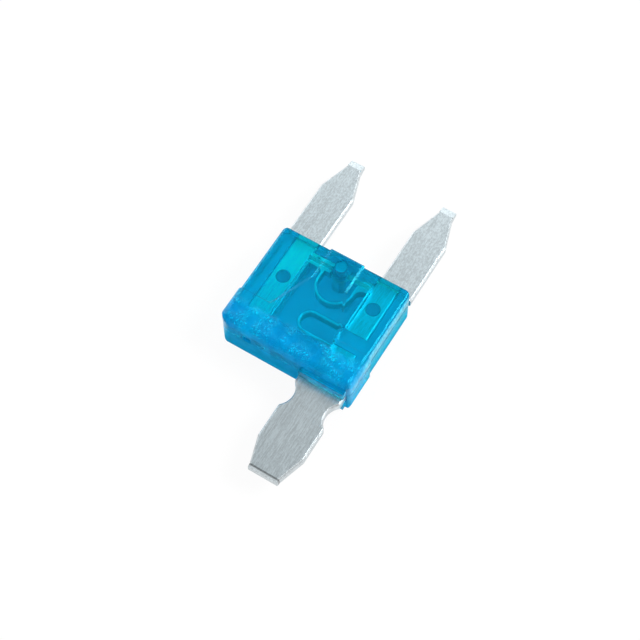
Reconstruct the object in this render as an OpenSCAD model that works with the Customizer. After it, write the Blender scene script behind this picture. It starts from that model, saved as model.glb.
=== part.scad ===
// Small blade fuse with a third, notched tap blade, lying on its broad face. Millimetres, +Z up.
// It is drawn with y = 0 at the housing's prong end, x = 0 midway between the prongs and +Y towards
// the prong tips. The finished pieces are then slid along Y, so that the origin lies under the middle
// of the whole fuse.
// Distances called "from the prong end" are measured into the housing, towards the head.

/* [Housing] */
// How far the housing's sides lie outside the prongs
body_side = 0.03; // [0.02:0.01:0.5]
// Length of the housing, prong end to head end
body_len = 9; // [8.8:0.1:11]
// Thickness of the housing at the head and at the central pad
body_t = 3.8; // [3.5:0.1:4.6]
// Roof and floor of the link chamber
wall = 0.7; // [0.5:0.05:0.85]
// Wall between the prong end and the link chamber
end_wall = 0.35; // [0.25:0.05:0.45]
// Where the link chamber starts in the upper shell, from the prong end
roof_start = 0.9; // [0.6:0.05:1.1]
// Head wall's inner face, from the prong end
chamber_reach = 6.75; // [6.6:0.05:7.1]
// How far the faces over the legs lie below the head and the pad
panel_drop = 0.14; // [0.04:0.02:0.16]
// Rounding of the long edges beside the legs
body_edge_r = 0.4; // [0.2:0.05:0.5]
// Corners at the prong end, seen from above
foot_corner_r = 0.45; // [0.2:0.05:0.7]

/* [Head] */
// Length of the wider head band
head_len = 2.95; // [2.7:0.05:3.2]
// How far the head stands out on each side
head_step = 0.14; // [0.05:0.01:0.25]
// Rounding of the head's upper and lower edges
head_edge_r = 0.65; // [0.3:0.05:0.8]
// Head corner over the left leg, seen from above
head_corner_r = 1.1; // [0.5:0.05:1.3]
// Head corner beside the tap blade, seen from above
tap_corner_r = 0.5; // [0.3:0.05:0.6]

/* [Central pad] */
// Width of the pad between the prongs
pad_w = 2.9; // [2.4:0.1:3.6]
// How far the pad stands out of the prong end
pad_proud = 0.14; // [0.05:0.01:0.3]
// Where the pad starts to flare towards the head, from the prong end
flare_start = 2.45; // [1.8:0.05:3.2]
// Angle of the flares
flare_angle = 23; // [10:1:30]
// Width of the slopes along the pad's edges
pad_slope = 0.2; // [0.1:0.05:0.3]
// Rounding of the pad's edges at the prong end
pad_edge_r = 0.15; // [0.08:0.01:0.25]

/* [Joining pin] */
// Pin's middle, from the prong end
pin_y = 0.85; // [0.75:0.05:1]
// Pin diameter
pin_d = 0.9; // [0.6:0.05:1.1]
// How far the pin's end lies below the pad's face
pin_recess = 0.08; // [0.02:0.02:0.2]
// Boss diameter round the pin
boss_d = 1.35; // [1.3:0.05:1.6]

/* [Test point and lip] */
// Width of the window over the left leg's end
test_w = 0.65; // [0.4:0.05:0.9]
// Height of that window above the leg
test_h = 0.6; // [0.3:0.05:0.7]
// Depth of that window into the head
test_depth = 0.55; // [0.45:0.05:0.8]
// Window's middle, outwards from the left leg's inner edge
test_in = 0.4; // [0.35:0.05:0.9]
// How far the lips over and under the tap blade stand out of the head end
lip_proud = 0.36; // [0.2:0.02:0.4]
// Height of each lip, outwards from the tap blade
lip_h = 0.85; // [0.4:0.05:0.9]

/* [Sheet and prongs] */
// Thickness of the zinc sheet
blade_t = 0.8; // [0.6:0.05:0.9]
// Distance between the prongs' middles
prong_pitch = 8.04; // [7.96:0.01:8.1]
// Width of a prong
prong_w = 2.8; // [2.6:0.05:2.84]
// Length of a prong outside the housing
prong_len = 8.45; // [7:0.05:10]
// Length of a prong's nose, which narrows to the tip
prong_nose = 3.15; // [2.4:0.05:4]
// Width of a prong's tip
prong_tip_w = 1.15; // [0.8:0.05:1.5]
// Length of the tip, which is coined to a bevel
prong_coin = 0.6; // [0.3:0.05:1]
// Thickness left at a prong's tip
prong_tip_t = 0.3; // [0.15:0.05:0.5]
// Rolled-over edge that stamping leaves along the blades
rollover = 0.11; // [0.04:0.01:0.15]
// Rolled-over edge along the legs
leg_rollover = 0.1; // [0.04:0.01:0.12]
// Rolled-over edge along the links
fine_rollover = 0.05; // [0.02:0.01:0.07]

/* [Legs] */
// Width of a leg inside the housing
leg_w = 1.8; // [1.6:0.05:1.9]
// End of the right leg, from the prong end
right_leg_end = 4.58; // [4.4:0.02:4.8]
// How far the left leg's end lies inside the head end
left_leg_inset = 0.35; // [0.25:0.05:0.4]
// Diameter of the stake holes in the legs
hole_d = 1.12; // [0.8:0.02:1.3]
// Left leg's hole, from the prong end
left_hole_y = 3.25; // [2.5:0.05:4]
// Right leg's hole, from the prong end
right_hole_y = 2.2; // [1.8:0.05:3]

/* [U link] */
// Width of the U link's strip
link_w = 0.2; // [0.16:0.01:0.3]
// Inner width of the U
link_in_w = 2.7; // [2.5:0.05:2.8]
// Middle of the U, right of the fuse's middle line
link_x = 0.1; // [0:0.02:0.14]
// Lowest point of the U, from the prong end
link_reach = 3.4; // [3.3:0.05:3.7]
// Clearance between the prong end's wall and the left root
left_root_in = 0.04; // [0.03:0.01:0.15]
// Depth of the left root
left_root_h = 0.75; // [0.6:0.05:0.85]
// Fillet between the left root and the link
left_root_fillet = 0.3; // [0.15:0.05:0.4]
// Clearance between the prong end's wall and the right root
right_root_in = 0.13; // [0.03:0.01:0.3]
// Depth of the right root where it meets the leg
right_root_h = 0.7; // [0.4:0.05:0.75]
// Turn of the right root's upper edge
right_root_turn = 0.75; // [0.5:0.05:0.9]
// Small relief hole in the left root
relief_d = 0.22; // [0.12:0.02:0.3]
// Relief hole's middle, from the left leg
relief_x = 0.55; // [0.4:0.05:0.7]
// Relief hole's middle, from the root's upper edge
relief_y = 0.25; // [0.2:0.05:0.4]

/* [Hairpin link] */
// Width of the hairpin's strip
hairpin_w = 0.2; // [0.16:0.01:0.28]
// Where the hairpin's round end starts, left of the tap blade's root
hairpin_reach = 2.35; // [1.8:0.05:2.6]

/* [Tap blade] */
// How far the tap blade's middle lies inside the right prong's middle
tap_in = 0.62; // [0.54:0.02:0.7]
// Width of the tap blade
tap_w = 3.75; // [3.4:0.05:3.8]
// Length of the tap blade outside the housing
tap_len = 8.05; // [7:0.05:10]
// Length of the tap blade's nose, which narrows to the tip
tap_nose = 2.4; // [1.5:0.05:3]
// Width of the tap blade's tip
tap_tip_w = 2.4; // [1.6:0.05:2.8]
// Length of the tap blade's tip, which is bevelled
tap_coin = 0.22; // [0.1:0.01:0.4]
// Thickness left at the tap blade's tip
tap_tip_t = 0.5; // [0.3:0.05:0.6]
// Middle of the neck, outside the head end
neck_out = 1.85; // [1.7:0.05:2.2]
// Width of the neck
neck_w = 2.75; // [2.4:0.05:2.9]
// Radius of the notches that make the neck
notch_r = 1.4; // [1:0.05:1.5]
// Rounding of the shoulders between the notches and the head
shoulder_r = 0.35; // [0.2:0.05:0.4]
// Width of the tap blade's root inside the housing
root_w = 1.95; // [1.8:0.05:2.1]
// Upper edge of the root, from the prong end
root_top = 6.08; // [6.02:0.02:6.4]
// How far the tap blade's full width runs into the head
root_shoulder = 0.5; // [0.3:0.05:0.9]

/* [Fits] */
// Clearance between the housing and the fuse element, and between the two shells
fit = 0.03; // [0.02:0.01:0.06]
// Clearance between the pin's boss and the U link's left root
root_gap = 0.12; // [0.06:0.01:0.2]

/* [Hidden] */
$fn = 64;

// Overshoot of cuts past a face
over = 1;

// Heights above the resting face
blade_top = (body_t + blade_t) / 2;
blade_bottom = blade_top - blade_t;

// Plan places, right half unless named
body_w = prong_pitch + prong_w + 2 * body_side;
head_w = body_w + 2 * head_step;
head_y = head_len - body_len;
leg_in = (prong_pitch - prong_w) / 2;
leg_out = leg_in + leg_w;
leg_mid = leg_in + leg_w / 2;
tap_x = prong_pitch / 2 - tap_in;
root_left = tap_x - root_w / 2;
left_leg_end = body_len - left_leg_inset;
seat = blade_top + fit;

// The U and its roots
link_mid_r = (link_in_w + link_w) / 2;
link_y = link_reach - link_w - link_in_w / 2;
limb_in = link_in_w / 2;
limb_out = limb_in + link_w;
left_root_top = end_wall + left_root_in;
right_root_top = end_wall + right_root_in;
left_root_end = boss_d / 2 + root_gap;
left_root_bottom = left_root_top + left_root_h;
right_root_bottom = right_root_top + right_root_h;
right_root_sweep = link_y - right_root_bottom;

// The hairpin's limbs lie flush with the right leg's end and the tap root's upper edge
hairpin_mid_r = (root_top - right_leg_end + hairpin_w) / 2;
hairpin_y = (root_top + right_leg_end) / 2;
hairpin_x = root_left - hairpin_reach;

// Whole length, for the origin under its middle
middle_y = (prong_len - body_len - tap_len) / 2;

// Puts a piece in the fuse's own frame
module placed() translate([0, -middle_y, 0]) children();

// What a round corner of radius r at (x, y) leaves over, the corner pointing towards (sx, sy)
module corner_rest(x, y, r, sx, sy) {
    translate([x - sx * r, y - sy * r]) scale_to(sx, sy) difference() {
        square(r + over);
        circle(r);
    }
}

// Turns a drawing made for the (+, +) quadrant into the quadrant (sx, sy)
module scale_to(sx, sy) {
    mirror([sx < 0 ? 1 : 0, 0]) mirror([0, sy < 0 ? 1 : 0]) children();
}

// Rectangle from (x0, y0) to (x1, y1)
module area(x0, y0, x1, y1) translate([x0, y0]) square([x1 - x0, y1 - y0]);

// Extrudes a drawing between two heights
module between(z0, z1) translate([0, 0, z0]) linear_extrude(z1 - z0) children();

// Bar along Y from y0 to y1, w wide, between heights z0 and z1, its four long edges rounded by r
module rounded_bar(w, y0, y1, z0, z1, r) {
    translate([0, y1, 0]) rotate([90, 0, 0]) linear_extrude(y1 - y0) difference() {
        area(-w / 2, z0, w / 2, z1);
        for (sx = [-1, 1]) {
            corner_rest(sx * w / 2, z1, r, sx, 1);
            corner_rest(sx * w / 2, z0, r, sx, -1);
        }
    }
}

// Wide slab between y0 and y1 whose upper and lower edges are rounded by r at the end facing sy
module rounded_end(y0, y1, r, sy) {
    translate([-body_w, 0, 0]) rotate([90, 0, 90]) linear_extrude(2 * body_w) difference() {
        area(y0, 0, y1, body_t);
        corner_rest(sy > 0 ? y1 : y0, body_t, r, sy, 1);
        corner_rest(sy > 0 ? y1 : y0, 0, r, sy, -1);
    }
}

// Part of the housing beside the legs, with its faces a little lower than the head's
module leg_block() {
    intersection() {
        rounded_bar(body_w, head_y - over, 0, panel_drop, body_t - panel_drop, body_edge_r);
        between(0, body_t) difference() {
            area(-body_w / 2, head_y - head_len / 2, body_w / 2, 0);
            for (sx = [-1, 1]) corner_rest(sx * body_w / 2, 0, foot_corner_r, sx, 1);
        }
    }
}

// Wider head band, with the corner over the left leg rounder than the one beside the tap blade
module head_block() {
    intersection() {
        rounded_bar(head_w, -body_len, head_y, 0, body_t, head_edge_r);
        rounded_end(-body_len, head_y + over, head_edge_r, -1);
        between(0, body_t) difference() {
            area(-head_w / 2, -body_len, head_w / 2, head_y);
            corner_rest(-head_w / 2, -body_len, head_corner_r, -1, -1);
            corner_rest(head_w / 2, -body_len, tap_corner_r, 1, -1);
        }
    }
}

// Part of the housing's thickness, from x = -reach to 0, whose edges at x = 0 slope down by panel_drop
module sloped_side(reach, y0, y1) {
    translate([0, y1, 0]) rotate([90, 0, 0]) linear_extrude(y1 - y0)
        polygon([[-reach, 0], [-pad_slope, 0], [0, panel_drop], [0, body_t - panel_drop],
            [-pad_slope, body_t], [-reach, body_t]]);
}

// What a right side and its mirror image have in common
module between_sides() {
    intersection() {
        children();
        mirror([1, 0, 0]) children();
    }
}

// Central pad, as high as the head, into which it runs in two straight flares. Its edges slope down to
// the lower faces over the legs
module pad() {
    intersection() {
        union() {
            between_sides() translate([pad_w / 2, 0, 0])
                sloped_side(body_w, head_y - head_len / 2, pad_proud);
            between_sides() translate([pad_w / 2, -flare_start, 0]) rotate([0, 0, flare_angle])
                sloped_side(2 * body_w, -body_len, over);
        }
        rounded_end(head_y - over, pad_proud, pad_edge_r, 1);
        between(0, body_t) difference() {
            area(-body_w / 2, head_y - head_len / 2, body_w / 2, pad_proud);
            for (sx = [-1, 1]) corner_rest(sx * pad_w / 2, pad_proud, pad_edge_r, sx, 1);
        }
    }
}

// Outer form of the closed housing
module housing() {
    leg_block();
    head_block();
    pad();
    translate([tap_x - tap_w / 2, -body_len - lip_proud, blade_bottom - lip_h])
        cube([tap_w, lip_proud + head_len / 2, blade_t + 2 * lip_h]);
}

// Link chamber between the legs, less the pin's boss and the barrier beside the right leg's end. It
// starts this far from the prong end
module chamber_2d(start) {
    difference() {
        area(-leg_in, -chamber_reach, leg_in, -start);
        translate([0, -pin_y]) circle(boss_d / 2);
        area(-boss_d / 2, -pin_y, boss_d / 2, 0);
        area(root_left, -root_top + fit, leg_in + over, -right_leg_end - fit);
    }
}

// Room that the legs and the tap blade's root take in the housing
module element_room_2d() {
    area(-leg_out - fit, -left_leg_end - fit, -leg_in + fit, over);
    area(leg_in - fit, -right_leg_end - fit, leg_out + fit, over);
    area(root_left - fit, -body_len - over, root_left + root_w + fit, -root_top + fit);
    area(tap_x - tap_w / 2 - fit, -body_len - over, tap_x + tap_w / 2 + fit,
        -body_len + root_shoulder + fit);
}

// Stake hole or stake of diameter d in each leg
module at_leg_holes() {
    translate([-leg_mid, -left_hole_y]) children();
    translate([leg_mid, -right_hole_y]) children();
}

module upper_shell() {
    color([0.02, 0.58, 0.8, 0.6]) placed() difference() {
        intersection() {
            housing();
            translate([-body_w, -2 * body_len, seat]) cube([2 * body_w, 3 * body_len, body_t]);
        }
        between(seat - over, body_t - wall) chamber_2d(roof_start);
        translate([0, -pin_y, 0]) cylinder(d = pin_d + 2 * fit, h = body_t + over);
        translate([-leg_in - test_in - test_w / 2, -body_len - over, seat - over])
            cube([test_w, over + test_depth, over + test_h]);
    }
}

module lower_shell() {
    color([0.02, 0.52, 0.76, 0.7]) placed() {
        difference() {
            intersection() {
                housing();
                translate([-body_w, -2 * body_len, 0]) cube([2 * body_w, 3 * body_len, blade_top]);
            }
            between(wall, body_t) chamber_2d(end_wall);
            between(blade_bottom - fit, body_t) element_room_2d();
        }
        translate([0, -pin_y, wall]) cylinder(d = pin_d, h = body_t - wall - pin_recess);
        between(wall, blade_top) at_leg_holes() circle(d = hole_d - 2 * fit);
    }
}

// Cross-section of the sheet, from x0 to x1, its edges rolled over by c
module sheet_section(x0, x1, c) {
    polygon([[x0 + c, 0], [x1 - c, 0], [x1, c], [x1, blade_t - c], [x1 - c, blade_t],
        [x0 + c, blade_t], [x0, blade_t - c], [x0, c]]);
}

// Flat bar along Y from y0 to y1, w wide
module sheet_bar(w, y0, y1, c) {
    translate([0, y1, blade_bottom]) rotate([90, 0, 0]) linear_extrude(y1 - y0)
        sheet_section(-w / 2, w / 2, c);
}

// Half ring round the origin, on the side of -Y, mid_r to the middle of its strip
module half_ring(mid_r, w, c) {
    translate([0, 0, blade_bottom]) rotate([0, 0, 180]) rotate_extrude(angle = 180, $fn = 96)
        sheet_section(mid_r - w / 2, mid_r + w / 2, c);
}

// Sheet to the left of a straight rolled-over edge that passes through the origin and leans to the left
// by this angle
module leaning_side(angle, reach) {
    rotate([0, 0, angle]) translate([0, reach, blade_bottom]) rotate([90, 0, 0]) linear_extrude(2 * reach)
        polygon([[-reach, 0], [-rollover, 0], [0, rollover], [0, blade_t - rollover],
            [-rollover, blade_t], [-reach, blade_t]]);
}

// Blade along +Y from y = 0, w wide and len long. Over its nose it narrows in straight lines to a tip
// tip_w wide, which is coin long and bevelled to a thickness of tip_t
module blade(w, len, nose, tip_w, coin, tip_t) {
    lean = atan((w - tip_w) / 2 / (nose - coin));
    tip_low = (blade_t - tip_t) / 2;
    sheet_bar(w, 0, len - nose, rollover);
    intersection() {
        between_sides() translate([w / 2, len - nose, 0]) leaning_side(lean, nose + w);
        between(blade_bottom, blade_top) area(-w / 2, len - nose, w / 2, len - coin);
    }
    translate([-tip_w / 2, 0, blade_bottom]) rotate([90, 0, 90]) linear_extrude(tip_w)
        polygon([[len - coin, 0], [len, tip_low], [len, tip_low + tip_t], [len - coin, blade_t]]);
}

// Prong outside the housing and its leg inside, which ends at depth leg_end; side is 1 for the right one
module prong_and_leg(side, leg_end) {
    translate([side * prong_pitch / 2, fit, 0])
        blade(prong_w, prong_len - fit, prong_nose, prong_tip_w, prong_coin, prong_tip_t);
    translate([side * leg_mid, 0, 0]) sheet_bar(leg_w, -leg_end, fit, leg_rollover);
}

// Left root of the U link: a block beside the boss, filleted down to the link
module left_root_2d() {
    fillet = left_root_fillet;
    difference() {
        union() {
            area(-leg_in - fit, -left_root_bottom, -left_root_end, -left_root_top);
            area(link_x - limb_out - fillet, -left_root_bottom - fillet, link_x - limb_in, -left_root_bottom);
        }
        translate([link_x - limb_out - fillet, -left_root_bottom - fillet]) circle(fillet);
        translate([-leg_in + relief_x, -left_root_top - relief_y]) circle(d = relief_d);
    }
}

// Right root of the U link: the strip turns outwards and widens into the leg
module right_root_2d() {
    sweep_x = link_x + limb_out + right_root_sweep;
    difference() {
        area(link_x + limb_in, -link_y, leg_in + fit, -right_root_top);
        corner_rest(link_x + limb_in, -right_root_top, right_root_turn, -1, 1);
        translate([sweep_x, -link_y]) circle(right_root_sweep);
        area(sweep_x, -link_y - over, leg_in + over, -right_root_bottom);
    }
}

// Thin link between the two legs, which melts first
module u_link() {
    translate([link_x, -link_y, 0]) half_ring(link_mid_r, link_w, fine_rollover);
    translate([link_x - link_mid_r, 0, 0]) sheet_bar(link_w, -link_y, -left_root_bottom, fine_rollover);
    between(blade_bottom, blade_top) {
        left_root_2d();
        right_root_2d();
    }
}

// Thin link between the right leg's end and the tap blade's root
module hairpin_link() {
    translate([hairpin_x, -hairpin_y, 0]) rotate([0, 0, -90]) {
        half_ring(hairpin_mid_r, hairpin_w, fine_rollover);
        translate([-hairpin_mid_r, 0, 0]) sheet_bar(hairpin_w, 0, leg_in + fit - hairpin_x, fine_rollover);
        translate([hairpin_mid_r, 0, 0]) sheet_bar(hairpin_w, 0, hairpin_reach + fit, fine_rollover);
    }
}

// Cuts one notch beside the neck, on the side of +X, with the neck's middle at the origin
module notch() {
    depth = (tap_w - neck_w) / 2;
    side = tap_w / 2;
    middle = neck_w / 2 + notch_r;
    corner_y = sqrt(notch_r * notch_r - pow(notch_r - depth, 2));
    reach = notch_r + shoulder_r;
    fillet_y = sqrt(reach * reach - pow(reach - depth, 2));
    touch_x = side - shoulder_r + shoulder_r * (reach - depth) / reach;
    touch_y = fillet_y * notch_r / reach;
    translate([middle, 0, blade_bottom]) rotate_extrude($fn = 96)
        polygon([[0, -over], [notch_r + rollover + over, -over], [notch_r, rollover],
            [notch_r, blade_t - rollover], [notch_r + rollover + over, blade_t + over], [0, blade_t + over]]);
    for (end = [-1, 1]) between(blade_bottom - over, blade_top + over) difference() {
        polygon([[side - shoulder_r, end * fillet_y], [side + over, end * fillet_y],
            [side + over, end * corner_y], [side, end * corner_y], [touch_x, end * touch_y]]);
        translate([side - shoulder_r, end * fillet_y]) circle(shoulder_r);
    }
}

module tap_blade() {
    difference() {
        translate([tap_x, root_shoulder - body_len, 0]) rotate([0, 0, 180])
            blade(tap_w, tap_len + root_shoulder, tap_nose, tap_tip_w, tap_coin, tap_tip_t);
        translate([tap_x, -body_len - neck_out, 0]) {
            notch();
            mirror([1, 0, 0]) notch();
        }
    }
    translate([tap_x, 0, 0]) sheet_bar(root_w, root_shoulder - body_len, -root_top, fine_rollover);
}

module fuse_element() {
    color([0.76, 0.8, 0.82]) placed() {
        difference() {
            union() {
                prong_and_leg(-1, left_leg_end);
                prong_and_leg(1, right_leg_end);
            }
            between(blade_bottom - over, blade_top + over) at_leg_holes() circle(d = hole_d);
        }
        u_link();
        hairpin_link();
        tap_blade();
    }
}

upper_shell();
lower_shell();
fuse_element();
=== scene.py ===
import math

import bpy
from mathutils import Matrix, Vector


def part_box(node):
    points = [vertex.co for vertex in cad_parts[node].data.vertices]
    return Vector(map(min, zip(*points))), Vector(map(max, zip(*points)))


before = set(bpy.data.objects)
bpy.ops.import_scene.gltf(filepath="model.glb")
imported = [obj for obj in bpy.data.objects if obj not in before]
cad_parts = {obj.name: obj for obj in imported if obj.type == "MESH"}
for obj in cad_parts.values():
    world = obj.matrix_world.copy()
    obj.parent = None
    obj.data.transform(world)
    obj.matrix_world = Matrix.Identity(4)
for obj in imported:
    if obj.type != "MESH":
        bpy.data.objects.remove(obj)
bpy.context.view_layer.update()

# Lengths are written in millimetres and turned into metres by MM
MM = 0.001

# Camera: direction it looks from, in degrees, its distance from the point it looks at, its lens, and
# the nearest that it sees
CAMERA_AZIMUTH = 31.4
CAMERA_ELEVATION = 62.8
CAMERA_DISTANCE = 112.1 * MM
CAMERA_LENS = 86.4
CAMERA_NEAREST = 1.0 * MM
LOOK_AT = Vector((0.453, -0.266, 1.927)) * MM

# Heights and places that the finishes follow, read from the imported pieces. The head end is the lips'
# end, where the tap blade comes out, and the prong end is the boss's
HOUSING_LOW, HOUSING_HIGH = (Vector(corner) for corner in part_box("lower_shell"))
UPPER_LOW, UPPER_HIGH = (Vector(corner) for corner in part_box("upper_shell"))
ELEMENT_LOW, ELEMENT_HIGH = (Vector(corner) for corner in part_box("fuse_element"))
HEAD_END = HOUSING_LOW.y
PRONG_END = HOUSING_HIGH.y
HOUSING_SIDE = HOUSING_HIGH.x
HOUSING_TOP = UPPER_HIGH.z
SEAM = UPPER_LOW.z
ELEMENT_TOP = ELEMENT_HIGH.z

# A pair of lengths or values below is where something starts and ends to change

# Edge of a round spot, in radii
SPOT_EDGE = (0.92, 1.04)

# Stakes in the legs' holes: how far inside the prongs' outer sides they stand, how far inside the prong
# end, left and right, their radius, and their tops from the element's top
STAKE_ASIDE = 1.9 * MM
STAKES_IN = (3.39 * MM, 2.34 * MM)
STAKE_RADIUS = 0.55 * MM
STAKE_FROM = (-0.06 * MM, -0.02 * MM)
STAKE_TO = (0.005 * MM, 0.015 * MM)

# Pin between the prongs: how far inside the prong end it stands, its radius, its top face from the
# housing's top, the distance between the rings on it, how dark they are, and how far they swing from that
PIN_IN = 0.85 * MM
PIN_RADIUS = 0.45 * MM
PIN_FACE = (-0.3 * MM, -0.2 * MM)
PIN_RINGS = 0.2 * MM
RING_MEAN = 0.5
RING_SWING = 0.3

# Boss around the pin: where it ends, from the pin's middle, and how dark it is
BOSS_END = (0.88 * MM, 1.32 * MM)
BOSS_SHARE = 0.25

# Head band: its end and the lips' root, from the head end, and its top face, from the housing's top
HEAD_BAND = (2.25 * MM, 2.75 * MM)
LIP_ROOT = (0.26 * MM, 0.35 * MM)
TOP_FACE = (-0.3 * MM, -0.15 * MM)

# Walls: how far a face has turned to the head or the side, where the side walls stand, from the
# housing's widest side, where the upper ones start, from the seam, and the seam's line
TURNED = (0.6, 0.9)
SIDE_WALL = (-0.5 * MM, -0.4 * MM)
UPPER_WALL = (0.1 * MM, 0.4 * MM)
SEAM_LINE = (0.04 * MM, 0.1 * MM)

# Bevels: one rounds the plastic's edges, a wider one finds them for a painted shade line along them,
# standing in for light lost inside the plastic, where its normal leaves the face's own by this much, and
# one rounds the zinc's
PLASTIC_BEVEL = {"radius": 0.08 * MM, "samples": 8}
EDGE_SHADE_BEVEL = {"radius": 0.16 * MM, "samples": 6}
EDGE_TURN = (0.02, 0.2)
ZINC_BEVEL = {"radius": 0.04 * MM, "samples": 4}

# Dark skin, for the spots, the seam and painted shade, and its share as painted shade on the head's wall
# and the lower side walls
DARK_SKIN_AND_SHADE = (0.0, 0.4, 0.6)
HEAD_WALL_SHADE = 0.45
LOWER_WALL_SHADE = 0.3

# Skins of the two shells, the upper one's inside too, up to just over the legs, and how clear they are
UPPER_SKIN = (0.02, 0.92, 1.0)
UPPER_SKIN_INSIDE = (0.02, 1.0, 1.0)
UPPER_CLEAR = 0.95
LOWER_SKIN = (0.0, 0.74, 1.0)
LOWER_CLEAR = 0.65
OVER_LEGS = (0.2 * MM, 0.3 * MM)

# Blue plastic: what it takes off red, green and blue light, for each millimetre of way, and the tint
# of what it mirrors
PLASTIC_TAKES = (0.8, 0.05, 0.004)
PLASTIC_IOR = 1.42
PLASTIC_SHEEN = (0.02, 0.8, 1.0)

# Its roughness: plain, and what flow marks and frost add
PLASTIC_ROUGHNESS = 0.035
FLOW_ROUGHNESS = 0.05
FROST_ROUGHNESS = 0.16

# The etched skin that frost, haze and satin share
ETCHED_ROUGHNESS = 0.45
ETCHED_CLEAR = 0.2

# The head's top face is finely frosted
FROST_COLOUR = (0.0, 0.7, 0.97)
FROST_SHARE = 0.5

# The head's plastic is hazy, in clouds, so that what lies under it shows less
HAZE_COLOUR = (0.0, 0.41, 0.88)
HAZE_SHARE = 0.4
CLOUD_SHARE = 0.5

# The upper shell's side walls are satin, in stripes, and less so on the head. Their pale colour is a
# painted sheen, standing in for the white floor that they mirror
SATIN_SHEEN_COLOUR = (0.2, 0.78, 1.0)
SATIN_SHARE = 0.55
STRIPE_SHARE = 0.35
LESS_ON_HEAD = 0.6

# Patterns of the plastic, with their grains' sizes in millimetres, and the values where they show
PATCHES = {"sizes": (0.9, 0.9, 0.9), "detail": 1.0}
PATCHES_SHOW = (0.36, 0.62)
CURLS = {"sizes": (0.17, 0.3, 0.17), "detail": 1.0, "distortion": 0.5}
CURLS_MIDDLE = 0.5
CURLS_WIDE = (0.01, 0.045)
BREAKS = {"sizes": (0.28, 0.28, 0.28), "detail": 1.0}
BREAKS_SHOW = (0.38, 0.5)
CLOUDS = {"sizes": (1.1, 1.6, 1.1)}
CLOUDS_SHOW = (0.3, 0.7)
ETCHING = {"sizes": (0.11, 0.16, 0.11), "roughness": 0.6, "distortion": 0.6}
ETCHING_DEPTH = 0.11 * MM
WAVES = {"sizes": (2.4, 2.4, 2.4), "detail": 1.5}
WAVES_DEPTH = 0.012 * MM
FLOW = {"sizes": (0.5, 2.6, 0.8)}
FLOW_SHOWS = (0.35, 0.7)
STRIPES = {"sizes": (0.3, 0.12, 0.6), "detail": 1.0}
STRIPES_SHOW = (0.35, 0.65)

# Rolled zinc: its faces and sides outside, and where they show through the housing. Outside, the sides are
# painted lighter than the faces, as painted light, and under the housing much darker, as painted shade
ZINC_FACES = (0.515, 0.59, 0.622)
LIT_ZINC_SIDES = (0.58, 0.63, 0.65)
COVERED_FACES = (0.54, 0.66, 0.88)
SHADED_COVERED_SIDES = (0.3, 0.42, 0.5)
ZINC_ROUGHNESS = 0.34
SPECK_ROUGHNESS = 0.06

# How level a side has to lie to take the faces' colour, under the housing's cover and outside it
LEVEL_COVERED = (0.2, 0.7)
LEVEL_OUTSIDE = (0.55, 0.95)

# Patterns of the zinc
STREAKS = {"sizes": (0.055, 1.3, 0.055), "detail": 3.0, "roughness": 0.65}
LONG_STREAKS = {"sizes": (0.16, 5.0, 0.16)}
SPECKS = {"sizes": (0.09, 0.2, 0.09), "roughness": 0.6}
SPECKS_DEPTH = 0.006 * MM
STREAKS_DEPTH = 0.01 * MM
LONG_DEPTH_SHARE = 0.3

# Its tone: the shares of the long streaks and the specks in it, what the prongs add to the specks, the
# values where it shows, the darkest it gets, and how much lighter the lightest is
LONG_SHARE = 0.15
SPECK_SHARE = 0.3
PRONG_SPECKS = 0.22
TONE_SHOWS = (0.4, 0.6)
TONE_DARKEST = 0.86
TONE_SWING = 0.3

# Places along the zinc: where the housing's cover starts, from the head end, and ends, from the middle,
# and where the prongs start, from the prong end, with how much painted light makes them lighter
COVER_STARTS = (0.0, 0.2 * MM)
COVER_ENDS = (4.1 * MM, 4.3 * MM)
PRONGS_START = (0.0, 0.5 * MM)
PRONGS_PAINTED_LIGHT = 0.12

# Painted light on the left leg, which makes it lighter under the plastic, and more so towards its prong.
# Both pairs count from the middle
LEG_ASIDE = (-3.0 * MM, 3.0 * MM)
LEG_ALONG = (-1.0 * MM, 2.5 * MM)
LEG_PAINTED_LIGHT = 0.12
LEG_END_PAINTED_LIGHT = 0.3

# The tap blade beside the lips, from the head end, with how much painted light lifts it out of the lips'
# shade
BESIDE_LIPS = (-0.9 * MM, -0.2 * MM)
UNDER_LIPS = (-0.15 * MM, 0.0)
LIPS_PAINTED_LIGHT = 0.2

# A painted shade line across the tap blade, where a groove would be shaded: its place from the blade's end,
# its width, and how dark it is
TAP_SCORE = 0.22 * MM
SCORE_LINE = (0.03 * MM, 0.1 * MM)
SCORE_PAINTED_SHADE = 0.6

# Painted blue glow on the floor beside the housing, for the light that the housing throws there, which
# its own walls mirror. It stays off the tap blade's side
PAINTED_GLOW_BESIDE = (0.0, 0.7, 0.9)
PAINTED_GLOW_AHEAD = (0.0, 0.42, 0.68)
GLOW_ASIDE = (0.0, 0.95 * MM)
GLOW_REACH = (0.0, 6.0 * MM)
GLOW_TURNS = (0.0, 0.1 * MM)
TAP_AHEAD = (0.0, 0.3 * MM)
TAP_ASIDE = (1.0 * MM, 2.0 * MM)

# Floor: its half width in metres, how far it lies under the fuse, its colour where it is lit, and the
# share of it that is plain white to the camera, in mirrors and, less so, through the plastic
WHITE = (1.0, 1.0, 1.0)
FLOOR_HALF = 1.5
FLOOR_UNDER = 0.02 * MM
FLOOR_COLOUR = (0.93, 0.93, 0.93)
FLOOR_PLAIN = 0.93
PLAIN_THROUGH = 0.5

# Strength of the surroundings as light, and as the camera sees them
WORLD_STRENGTH = 0.7
WORLD_SEEN = 1.0

# Soft lamps: their distance in metres, and each one's name, azimuth and elevation in degrees, width in
# metres, and brightness
LAMP_DISTANCE = 0.4
LAMPS = (
    ("side_softbox", 121, 43, 0.2, 12.0),
    ("left_softbox", 246, 20, 0.2, 3.0),
    ("front_softbox", -15, 22, 0.2, 1.2),
    ("back_softbox", 197, 30, 0.3, 1.2),
)


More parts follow.
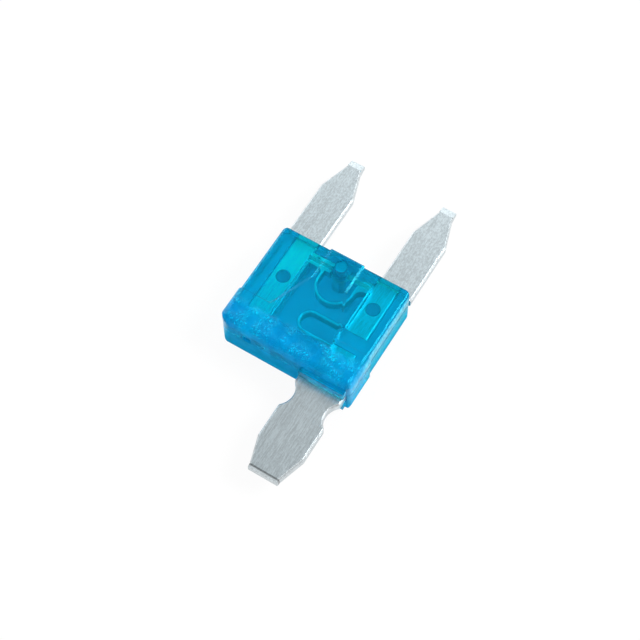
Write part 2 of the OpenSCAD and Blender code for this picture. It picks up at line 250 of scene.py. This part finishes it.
class Wire:
    """An output of a node. Sums, products and the like of wires and numbers add Math nodes."""

    def __init__(self, finish, socket):
        self.finish = finish
        self.socket = socket

    def math(self, operation, *values):
        inputs = dict(enumerate(values))
        return self.finish.node("Math", {"operation": operation}, inputs)

    def __add__(self, other):
        return self.math("ADD", self, other)

    def __radd__(self, other):
        return self.math("ADD", other, self)

    def __sub__(self, other):
        return self.math("SUBTRACT", self, other)

    def __rsub__(self, other):
        return self.math("SUBTRACT", other, self)

    def __mul__(self, other):
        return self.math("MULTIPLY", self, other)

    def __rmul__(self, other):
        return self.math("MULTIPLY", other, self)

    def __truediv__(self, other):
        return self.math("DIVIDE", self, other)

    def __pow__(self, other):
        return self.math("POWER", self, other)

    def absolute(self):
        return self.math("ABSOLUTE", self)

    def sine(self):
        return self.math("SINE", self)

    def clamped(self):
        """The value, kept between 0 and 1."""
        return self.math("MINIMUM", self.math("MAXIMUM", self, 0.0), 1.0)

    def rise(self, ends, origin=0.0):
        """0 at the first end and 1 at the second, both counted from the origin, and eased at both."""
        start, end = (origin + place for place in ends)
        share = ((self - start) / (end - start)).clamped()
        return share * share * (3.0 - 2.0 * share)

    def fall(self, ends, origin=0.0):
        """1 at the first end and 0 at the second."""
        return 1.0 - self.rise(ends, origin)

    def near(self, middle, ends):
        """1 up to the first distance from the middle, and 0 from the second on."""
        return (self - middle).absolute().fall(ends)


class Finish:
    """A material or world in the making: its node tree, and one method that adds any node."""

    def __init__(self, block):
        block.use_nodes = True
        self.block = block
        self.tree = block.node_tree
        self.tree.nodes.clear()

    def node(self, kind, settings=None, inputs=None, out=0):
        """Adds a node of this kind, sets its settings, sets or links its inputs, and returns one output."""
        new = self.tree.nodes.new("ShaderNode" + kind)
        for name, value in (settings or {}).items():
            setattr(new, name, value)
        for name, value in (inputs or {}).items():
            if isinstance(value, Wire):
                self.tree.links.new(value.socket, new.inputs[name])
            else:
                new.inputs[name].default_value = value
        return Wire(self, new.outputs[out]) if new.outputs else None

    def place(self):
        """Object coordinates, in metres."""
        return self.node("TexCoord", out="Object")

    def normal(self):
        """The face's normal, without bevel or bump."""
        return self.node("NewGeometry", out="Normal")

    def part(self, vector, axis):
        """The X, Y or Z of a vector."""
        return self.node("SeparateXYZ", None, {0: vector}, out=axis)

    def parts(self, vector):
        """The X, Y and Z of a vector."""
        return [self.part(vector, axis) for axis in "XYZ"]

    def pattern(self, place, sizes, detail=2.0, roughness=0.5, distortion=0.0):
        """Noise from 0 to 1 with grains this long, in millimetres, along X, Y and Z."""
        scale = [1 / (size * MM) for size in sizes]
        stretched = self.node("Mapping", None, {"Vector": place, "Scale": scale})
        return self.node("TexNoise", None, {
            "Vector": stretched,
            "Scale": 1.0,
            "Detail": detail,
            "Roughness": roughness,
            "Distortion": distortion,
        })

    def mix(self, factor, first, second):
        """A colour between two."""
        settings = {"data_type": "RGBA", "clamp_factor": True}
        return self.node("Mix", settings, {0: factor, 6: first, 7: second}, out=2)

    def bevel(self, radius, samples):
        """A normal that is rounded at the edges."""
        return self.node("Bevel", {"samples": samples}, {"Radius": radius})

    def bump(self, height, depth, normal):
        """The normal, bent by a height from 0 to 1 that stands for this depth."""
        inputs = {"Height": height, "Distance": depth, "Strength": 1.0, "Normal": normal}
        return self.node("Bump", None, inputs)

    def plastic(self, base, roughness, clear, normal):
        return self.node("BsdfPrincipled", None, {
            "Base Color": base,
            "Roughness": roughness,
            "IOR": PLASTIC_IOR,
            "Specular Tint": colour(PLASTIC_SHEEN),
            "Transmission Weight": clear,
            "Normal": normal,
        })

    def blend(self, factor, first, second):
        """A shader between two."""
        return self.node("MixShader", None, {0: factor, 1: first, 2: second})

    def output(self, kind, **inputs):
        """Adds the output node of this kind and returns the finished material or world."""
        self.node("Output" + kind, None, inputs)
        return self.block


def colour(rgb):
    return (*rgb, 1.0)


def off_axis(x, y, aside, inset):
    """Distance from an upright axis at x = aside that stands this far inside the housing's prong end."""
    dx = x - aside
    dy = y - (PRONG_END - inset)
    return (dx * dx + dy * dy) ** 0.5


def within(distance, radius):
    """1 inside the radius and 0 outside it."""
    return distance.fall([share * radius for share in SPOT_EDGE])


def dark_spots(x, y, z):
    """The tops of the stakes in the legs' holes, the ringed top of the pin, and the boss around it."""
    stake_x = ELEMENT_HIGH.x - STAKE_ASIDE
    left_stake = within(off_axis(x, y, -stake_x, STAKES_IN[0]), STAKE_RADIUS)
    right_stake = within(off_axis(x, y, stake_x, STAKES_IN[1]), STAKE_RADIUS)
    stake_tops = z.rise(STAKE_FROM, ELEMENT_TOP) * z.fall(STAKE_TO, ELEMENT_TOP)
    on_stakes = (left_stake + right_stake) * stake_tops
    off_pin = off_axis(x, y, 0.0, PIN_IN)
    rings = RING_MEAN + RING_SWING * (off_pin * (2 * math.pi / PIN_RINGS)).sine()
    on_pin = within(off_pin, PIN_RADIUS) * rings * z.rise(PIN_FACE, HOUSING_TOP)
    on_boss = BOSS_SHARE * off_pin.fall(BOSS_END)
    return on_stakes + on_pin + on_boss


def frost_strokes(f, place, frost):
    """Thin broken curls within the frost."""
    thin = f.pattern(place, **CURLS).near(CURLS_MIDDLE, CURLS_WIDE)
    broken = f.pattern(place, **BREAKS).rise(BREAKS_SHOW)
    return thin * broken * frost


def plastic_finish(name, clear, skin, skin_inside):
    """Clear blue moulded plastic: glossy and faintly wavy, with darker spots and seam, and painted shade on
    its edges, head wall and lower side walls. The head is hazy, with frost on its top face, and the upper
    side walls are satin, with a painted sheen."""
    f = Finish(bpy.data.materials.new(name))
    place = f.place()
    x, y, z = f.parts(place)
    normal = f.normal()

    on_head = y.fall(HEAD_BAND, HEAD_END)
    off_lip = y.rise(LIP_ROOT, HEAD_END)
    on_head_wall = (0.0 - f.part(normal, "Y")).rise(TURNED) * off_lip
    on_side_wall = f.part(normal, "X").absolute().rise(TURNED) * x.absolute().rise(SIDE_WALL, HOUSING_SIDE)
    upper = z.rise(UPPER_WALL, SEAM)

    rounded = f.bevel(**PLASTIC_BEVEL)
    dot = {"operation": "DOT_PRODUCT"}
    # Painted shade: dark lines along the plastic's edges
    along = f.node("VectorMath", dot, {0: f.bevel(**EDGE_SHADE_BEVEL), 1: normal}, out="Value")
    edge_shade = (1.0 - along.absolute()).rise(EDGE_TURN)
    # Painted shade on the head's wall and the lower side walls
    wall_shade = HEAD_WALL_SHADE * on_head_wall + LOWER_WALL_SHADE * on_side_wall * (1.0 - upper)
    # Dark spots and the dark seam, with the painted shade of the edges and walls
    dark_and_shade = dark_spots(x, y, z) + edge_shade + wall_shade + z.near(SEAM, SEAM_LINE) * on_side_wall
    light_skin = f.mix(z.fall(OVER_LEGS, ELEMENT_TOP), colour(skin), colour(skin_inside))

    patches = f.pattern(place, **PATCHES).rise(PATCHES_SHOW)
    frost = on_head * z.rise(TOP_FACE, HOUSING_TOP) * patches
    strokes = frost_strokes(f, place, frost)
    clouds = f.pattern(place, **CLOUDS).rise(CLOUDS_SHOW)
    haze = on_head * (1.0 - CLOUD_SHARE + CLOUD_SHARE * clouds) * off_lip
    stripes = f.pattern(place, **STRIPES).rise(STRIPES_SHOW)
    satin = on_side_wall * upper * (1.0 - STRIPE_SHARE + STRIPE_SHARE * stripes)
    satin = satin * (1.0 - LESS_ON_HEAD * on_head)

    wavy = f.bump(f.pattern(place, **WAVES), WAVES_DEPTH, rounded)
    frosted = f.bump(f.pattern(place, **ETCHING) * frost, ETCHING_DEPTH, wavy)
    flow = f.pattern(place, **FLOW).rise(FLOW_SHOWS)
    roughness = PLASTIC_ROUGHNESS + FLOW_ROUGHNESS * flow + FROST_ROUGHNESS * frost
    glossy_base = f.mix(dark_and_shade.clamped(), light_skin, colour(DARK_SKIN_AND_SHADE))
    glossy = f.plastic(glossy_base, roughness, clear, frosted)
    hazy = f.mix(strokes, colour(HAZE_COLOUR), colour(FROST_COLOUR))
    # The satin walls' paler colour is a painted sheen
    etched_base = f.mix(satin, hazy, colour(SATIN_SHEEN_COLOUR))
    etched = f.plastic(etched_base, ETCHED_ROUGHNESS, ETCHED_CLEAR, frosted)
    cloudy = (FROST_SHARE * strokes + HAZE_SHARE * haze + SATIN_SHARE * satin).clamped()

    most = max(PLASTIC_TAKES)
    passes = [1.0 - taken / most for taken in PLASTIC_TAKES]
    volume = f.node("VolumeAbsorption", None, {"Color": colour(passes), "Density": most / MM})
    return f.output("Material", Surface=f.blend(cloudy, glossy, etched), Volume=volume)


def zinc_finish():
    """Rolled zinc sheet: satin, with fine scratches along its length and small pits, and painted light and
    shade on its sides, prongs, left leg, the blade beside the lips and a line across it.
    """
    f = Finish(bpy.data.materials.new("rolled_zinc"))
    place = f.place()
    x, y, _ = f.parts(place)
    covered = y.rise(COVER_STARTS, HEAD_END) * y.fall(COVER_ENDS)
    on_prongs = y.rise(PRONGS_START, PRONG_END)

    streaks = f.pattern(place, **STREAKS)
    long_streaks = f.pattern(place, **LONG_STREAKS)
    specks = f.pattern(place, **SPECKS)
    speck_share = SPECK_SHARE + PRONG_SPECKS * on_prongs
    tone = (1.0 - LONG_SHARE - speck_share) * streaks + LONG_SHARE * long_streaks + speck_share * specks
    light = TONE_DARKEST + TONE_SWING * tone.rise(TONE_SHOWS)
    # Painted light on the prongs
    light = light * (1.0 + PRONGS_PAINTED_LIGHT * on_prongs)
    # Painted shade line across the tap blade
    light = light * (1.0 - SCORE_PAINTED_SHADE * y.near(ELEMENT_LOW.y + TAP_SCORE, SCORE_LINE))
    # Painted light on the left leg under the plastic
    leg_painted_light = LEG_PAINTED_LIGHT + LEG_END_PAINTED_LIGHT * y.rise(LEG_ALONG)
    light = light * (1.0 + leg_painted_light * covered * x.fall(LEG_ASIDE))
    # Painted light on the tap blade beside the lips
    near_lips = y.rise(BESIDE_LIPS, HEAD_END) * y.fall(UNDER_LIPS, HEAD_END)
    light = light * (1.0 + LIPS_PAINTED_LIGHT * near_lips)

    facing_up = f.part(f.normal(), "Z")
    level = facing_up * facing_up
    flat = covered * level.rise(LEVEL_COVERED) + (1.0 - covered) * level.rise(LEVEL_OUTSIDE)
    faces = f.mix(covered, colour(ZINC_FACES), colour(COVERED_FACES))
    # Painted light and shade: sides lighter than the faces outside, darker under the housing
    sides = f.mix(covered, colour(LIT_ZINC_SIDES), colour(SHADED_COVERED_SIDES))
    plain = f.mix(flat, sides, faces)

    pitted = f.bump(specks, SPECKS_DEPTH, f.bevel(**ZINC_BEVEL))
    scratches = (1.0 - LONG_DEPTH_SHARE) * streaks + LONG_DEPTH_SHARE * long_streaks
    shader = f.node("BsdfPrincipled", None, {
        "Base Color": f.node("VectorMath", {"operation": "SCALE"}, {0: plain, "Scale": light}),
        "Metallic": 1.0,
        "Roughness": ZINC_ROUGHNESS + SPECK_ROUGHNESS * specks,
        "Normal": f.bump(scratches, STREAKS_DEPTH, pitted),
    })
    return f.output("Material", Surface=shader)


def floor_finish():
    """White floor: partly lit, so that it keeps the fuse's shadow, and partly plain white. In mirrors it
    has a painted blue glow, for the light that the housing throws."""
    f = Finish(bpy.data.materials.new("white_floor"))
    x, y, _ = f.parts(f.place())
    aside = x.absolute() - HOUSING_SIDE
    ahead = HEAD_END - y
    beside_tap = ahead.rise(TAP_AHEAD) * x.rise(TAP_ASIDE)
    # Painted blue glow, seen in mirrors
    painted_glow = aside.fall(GLOW_ASIDE) * ahead.fall(GLOW_REACH) * y.fall(GLOW_ASIDE, PRONG_END)
    painted_glow = painted_glow * (1.0 - beside_tap)
    blue = f.mix(aside.rise(GLOW_TURNS), colour(PAINTED_GLOW_AHEAD), colour(PAINTED_GLOW_BESIDE))

    mirrored = f.node("LightPath", out="Is Glossy Ray")
    seen = f.node("LightPath", out="Is Camera Ray") + mirrored
    seen = seen + PLAIN_THROUGH * f.node("LightPath", out="Is Transmission Ray")
    shade = f.mix(painted_glow * mirrored, colour(WHITE), blue)
    lit = f.node("BsdfDiffuse", None, {"Color": colour(FLOOR_COLOUR)})
    plain = f.node("Emission", None, {"Color": shade, "Strength": 1.0})
    return f.output("Material", Surface=f.blend(seen.clamped() * FLOOR_PLAIN, lit, plain))


def dress(node, material):
    """Gives a CAD piece one material."""
    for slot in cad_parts[node].material_slots:
        slot.material = material


def add_object(name, data):
    thing = bpy.data.objects.new(name, data)
    bpy.context.scene.collection.objects.link(thing)
    return thing


def add_floor():
    """A wide plane just under the fuse."""
    mesh = bpy.data.meshes.new("floor")
    sides = ((-1, -1), (1, -1), (1, 1), (-1, 1))
    corners = [(x * FLOOR_HALF, y * FLOOR_HALF, -FLOOR_UNDER) for x, y in sides]
    mesh.from_pydata(corners, [], [(0, 1, 2, 3)])
    floor = add_object("floor", mesh)
    mesh.materials.append(floor_finish())


def away(azimuth, elevation):
    """The direction from the fuse to a viewer who stands at this azimuth and elevation, in degrees."""
    a, e = math.radians(azimuth), math.radians(elevation)
    return Vector((math.sin(a) * math.cos(e), -math.cos(a) * math.cos(e), math.sin(e)))


def turn_to(thing, place, target):
    """Puts a lamp or camera at a place and turns it to a target."""
    turn = (target - place).to_track_quat("-Z", "Y").to_matrix().to_4x4()
    thing.matrix_world = Matrix.Translation(place) @ turn


def add_lamp(name, azimuth, elevation, size, brightness):
    """A square soft lamp, as bright as a white card that shines with this strength."""
    lamp = bpy.data.lights.new(name, "AREA")
    lamp.shape = "SQUARE"
    lamp.size = size
    lamp.energy = brightness * math.pi * size * size
    turn_to(add_object(name, lamp), away(azimuth, elevation) * LAMP_DISTANCE, Vector((0, 0, 0)))


def add_world():
    """Even pale surroundings, which the camera sees a little brighter than they shine."""
    f = Finish(bpy.data.worlds.new("studio"))
    seen = f.node("LightPath", out="Is Camera Ray")
    strength = f.node("Mix", None, {0: seen, 2: WORLD_STRENGTH, 3: WORLD_SEEN})
    background = f.node("Background", None, {"Strength": strength})
    bpy.context.scene.world = f.output("World", Surface=background)


def add_camera():
    lens = bpy.data.cameras.new("camera")
    lens.lens = CAMERA_LENS
    lens.clip_start = CAMERA_NEAREST
    camera = add_object("camera", lens)
    turn_to(camera, LOOK_AT + away(CAMERA_AZIMUTH, CAMERA_ELEVATION) * CAMERA_DISTANCE, LOOK_AT)
    bpy.context.scene.camera = camera


dress("upper_shell", plastic_finish("clear_blue_plastic", UPPER_CLEAR, UPPER_SKIN, UPPER_SKIN_INSIDE))
dress("lower_shell", plastic_finish("cloudy_blue_plastic", LOWER_CLEAR, LOWER_SKIN, LOWER_SKIN))
dress("fuse_element", zinc_finish())
add_floor()
for lamp_values in LAMPS:
    add_lamp(*lamp_values)
add_world()
add_camera()

bpy.context.scene.view_settings.view_transform = "Standard"
